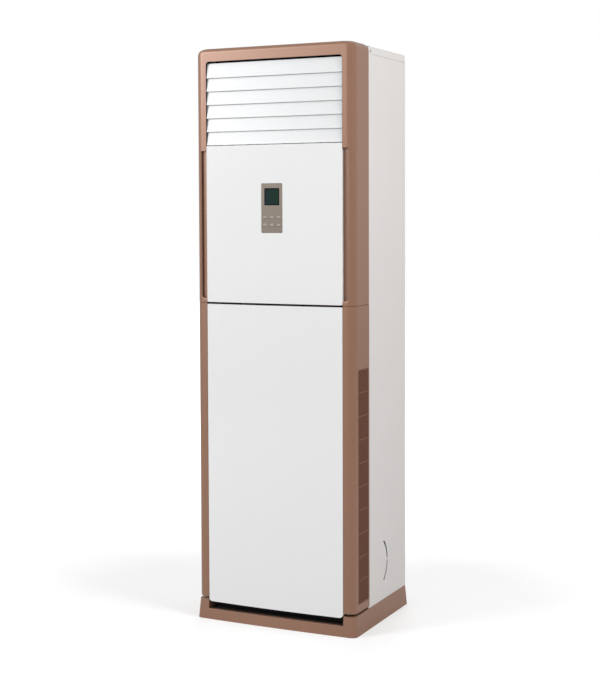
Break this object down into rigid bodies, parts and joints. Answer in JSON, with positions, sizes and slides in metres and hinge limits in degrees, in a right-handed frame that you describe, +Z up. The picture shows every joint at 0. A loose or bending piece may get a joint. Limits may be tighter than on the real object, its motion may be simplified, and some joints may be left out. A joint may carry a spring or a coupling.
{
  "type": "floor standing air conditioner",
  "caption": "Tall floor standing air conditioner cabinet with linked outlet louvres, side intake grilles, a tilting lower front panel, push buttons and a blower inside.",
  "frame": {"origin": "on the floor, under the middle of the overall box", "axes": "+Z up, -Y out of the front with the panels and louvres, +X to the right seen from the front"},
  "size_m": [0.56, 0.4416, 1.825],
  "materials": {
    "bronze_plastic": "satin metallic bronze paint on moulded plastic",
    "bronze_grille": "moulded, dark bronze",
    "white_panel": "glossy moulded",
    "white_louver": "satin moulded",
    "white_steel": "powder coated sheet steel",
    "zinc_steel": "galvanised sheet",
    "motor_steel": "dark enamel",
    "dark_plastic": "moulded",
    "grey_plastic": "moulded",
    "console_plastic": "satin metallic taupe",
    "key_plastic": "moulded keys",
    "display_glass": "polished dark window",
    "circuit_board": "solder mask",
    "filter_mesh": "fine woven mesh in a moulded frame",
    "coil_aluminium": "fin pack",
    "copper": "drawn copper tube",
    "foam": "moulded foam"
  },
  "bodies": {
    "cabinet": {"base_plinth": "bronze_plastic", "base_pan": "zinc_steel", "left_side_panel": "white_steel", "right_side_panel": "white_steel", "rear_panel": "white_steel", "top_cover": "white_steel", "outlet_bezel": "bronze_plastic", "left_lower_column": "bronze_plastic", "right_lower_column": "bronze_plastic", "left_intake_grille": "bronze_grille", "right_intake_grille": "bronze_grille", "left_air_filter": "filter_mesh", "right_air_filter": "filter_mesh", "upper_front_panel": "white_panel", "control_console": "console_plastic", "display_window": "display_glass", "control_board": "circuit_board", "outlet_frame": "dark_plastic", "louver_motor": "motor_steel", "swing_motor": "motor_steel", "scroll_housing": "grey_plastic", "scroll_front_plate": "grey_plastic", "inlet_ring": "grey_plastic", "fan_motor": "motor_steel", "motor_bracket": "zinc_steel", "partition_plate": "zinc_steel", "evaporator_coil": "coil_aluminium", "drain_pan": "foam", "gas_pipe": "copper", "liquid_pipe": "copper", "electric_box": "zinc_steel", "electric_box_cover": "zinc_steel", "left_panel_catch": "dark_plastic", "right_panel_catch": "dark_plastic"},
    "lower_panel": {"lower_front_panel": "white_panel"},
    "louver_a": {"louver_1": "white_louver"},
    "louver_b": {"louver_2": "white_louver"},
    "louver_c": {"louver_3": "white_louver"},
    "louver_d": {"louver_4": "white_louver"},
    "louver_e": {"louver_5": "white_louver"},
    "louver_f": {"louver_6": "white_louver"},
    "louver_bar": {"louver_link": "dark_plastic"},
    "vane_a": {"vane_1": "dark_plastic"},
    "vane_b": {"vane_2": "dark_plastic"},
    "vane_c": {"vane_3": "dark_plastic"},
    "vane_d": {"vane_4": "dark_plastic"},
    "vane_e": {"vane_5": "dark_plastic"},
    "vane_f": {"vane_6": "dark_plastic"},
    "vane_g": {"vane_7": "dark_plastic"},
    "vane_bar": {"vane_link": "dark_plastic"},
    "blower": {"blower_wheel": "dark_plastic", "wheel_disc": "dark_plastic", "motor_shaft": "zinc_steel"},
    "key_temp_down": {"button_temp_down": "key_plastic"},
    "key_fan": {"button_fan": "key_plastic"},
    "key_temp_up": {"button_temp_up": "key_plastic"},
    "key_swing": {"button_swing": "key_plastic"},
    "key_power": {"button_power": "key_plastic"},
    "key_mode": {"button_mode": "key_plastic"}
  },
  "joints": [
    {"name": "lower_panel_tilt", "type": "hinge", "parent": "cabinet", "child": "lower_panel", "pos_m": [0, -0.20575, 1.012], "axis": [-1, 0, 0], "range_deg": [0, 25]},
    {"name": "louver_1_turn", "type": "hinge", "parent": "cabinet", "child": "louver_a", "pos_m": [0, -0.18925, 1.7535], "axis": [-1, 0, 0], "range_deg": [0, 85]},
    {"name": "louver_2_turn", "type": "hinge", "parent": "cabinet", "child": "louver_b", "pos_m": [0, -0.18925, 1.7111], "axis": [-1, 0, 0], "range_deg": [0, 85]},
    {"name": "louver_3_turn", "type": "hinge", "parent": "cabinet", "child": "louver_c", "pos_m": [0, -0.18925, 1.6687], "axis": [-1, 0, 0], "range_deg": [0, 85]},
    {"name": "louver_4_turn", "type": "hinge", "parent": "cabinet", "child": "louver_d", "pos_m": [0, -0.18925, 1.6263], "axis": [-1, 0, 0], "range_deg": [0, 85]},
    {"name": "louver_5_turn", "type": "hinge", "parent": "cabinet", "child": "louver_e", "pos_m": [0, -0.18925, 1.5839], "axis": [-1, 0, 0], "range_deg": [0, 85]},
    {"name": "louver_6_turn", "type": "hinge", "parent": "cabinet", "child": "louver_f", "pos_m": [0, -0.18925, 1.5415], "axis": [-1, 0, 0], "range_deg": [0, 85]},
    {"name": "louver_bar_pivot", "type": "hinge", "parent": "louver_a", "child": "louver_bar", "pos_m": [-0.224, -0.18075, 1.78187], "axis": [-1, 0, 0], "range_deg": [-85, 0]},
    {"name": "vane_7_swing", "type": "hinge", "parent": "cabinet", "child": "vane_g", "pos_m": [0.186, -0.13125, 1.65356], "axis": [0, 0, 1], "range_deg": [-35, 35]},
    {"name": "vane_1_swing", "type": "hinge", "parent": "cabinet", "child": "vane_a", "pos_m": [-0.186, -0.13125, 1.65356], "axis": [0, 0, 1], "range_deg": [-35, 35]},
    {"name": "vane_2_swing", "type": "hinge", "parent": "cabinet", "child": "vane_b", "pos_m": [-0.124, -0.13125, 1.65356], "axis": [0, 0, 1], "range_deg": [-35, 35]},
    {"name": "vane_3_swing", "type": "hinge", "parent": "cabinet", "child": "vane_c", "pos_m": [-0.062, -0.13125, 1.65356], "axis": [0, 0, 1], "range_deg": [-35, 35]},
    {"name": "vane_4_swing", "type": "hinge", "parent": "cabinet", "child": "vane_d", "pos_m": [0, -0.13125, 1.65356], "axis": [0, 0, 1], "range_deg": [-35, 35]},
    {"name": "vane_5_swing", "type": "hinge", "parent": "cabinet", "child": "vane_e", "pos_m": [0.062, -0.13125, 1.65356], "axis": [0, 0, 1], "range_deg": [-35, 35]},
    {"name": "vane_6_swing", "type": "hinge", "parent": "cabinet", "child": "vane_f", "pos_m": [0.124, -0.13125, 1.65356], "axis": [0, 0, 1], "range_deg": [-35, 35]},
    {"name": "vane_bar_pivot", "type": "hinge", "parent": "vane_g", "child": "vane_bar", "pos_m": [0.186, -0.10825, 1.65356], "axis": [0, 0, 1], "range_deg": [-35, 35]},
    {"name": "blower_spin", "type": "hinge", "parent": "cabinet", "child": "blower", "pos_m": [-0.016, 0.0635, 0.43], "axis": [0, 1, 0], "continuous": true},
    {"name": "temp_down_press", "type": "slide", "parent": "cabinet", "child": "key_temp_down", "axis": [0, 1, 0], "range_m": [0, 0.001], "stiffness_N_per_m": 400, "springref_m": -0.0005},
    {"name": "fan_press", "type": "slide", "parent": "cabinet", "child": "key_fan", "axis": [0, 1, 0], "range_m": [0, 0.001], "stiffness_N_per_m": 400, "springref_m": -0.0005},
    {"name": "temp_up_press", "type": "slide", "parent": "cabinet", "child": "key_temp_up", "axis": [0, 1, 0], "range_m": [0, 0.001], "stiffness_N_per_m": 400, "springref_m": -0.0005},
    {"name": "swing_press", "type": "slide", "parent": "cabinet", "child": "key_swing", "axis": [0, 1, 0], "range_m": [0, 0.001], "stiffness_N_per_m": 400, "springref_m": -0.0005},
    {"name": "power_press", "type": "slide", "parent": "cabinet", "child": "key_power", "axis": [0, 1, 0], "range_m": [0, 0.001], "stiffness_N_per_m": 400, "springref_m": -0.0005},
    {"name": "mode_press", "type": "slide", "parent": "cabinet", "child": "key_mode", "axis": [0, 1, 0], "range_m": [0, 0.001], "stiffness_N_per_m": 400, "springref_m": -0.0005}
  ],
  "couplings": [
    {"joint": "louver_2_turn", "follows": "louver_1_turn", "ratio": 1},
    {"joint": "louver_3_turn", "follows": "louver_1_turn", "ratio": 1},
    {"joint": "louver_4_turn", "follows": "louver_1_turn", "ratio": 1},
    {"joint": "louver_5_turn", "follows": "louver_1_turn", "ratio": 1},
    {"joint": "louver_6_turn", "follows": "louver_1_turn", "ratio": 1},
    {"joint": "louver_bar_pivot", "follows": "louver_1_turn", "ratio": -1},
    {"joint": "vane_1_swing", "follows": "vane_7_swing", "ratio": 1},
    {"joint": "vane_2_swing", "follows": "vane_7_swing", "ratio": 1},
    {"joint": "vane_3_swing", "follows": "vane_7_swing", "ratio": 1},
    {"joint": "vane_4_swing", "follows": "vane_7_swing", "ratio": 1},
    {"joint": "vane_5_swing", "follows": "vane_7_swing", "ratio": 1},
    {"joint": "vane_6_swing", "follows": "vane_7_swing", "ratio": 1},
    {"joint": "vane_bar_pivot", "follows": "vane_7_swing", "ratio": -1}
  ]
}
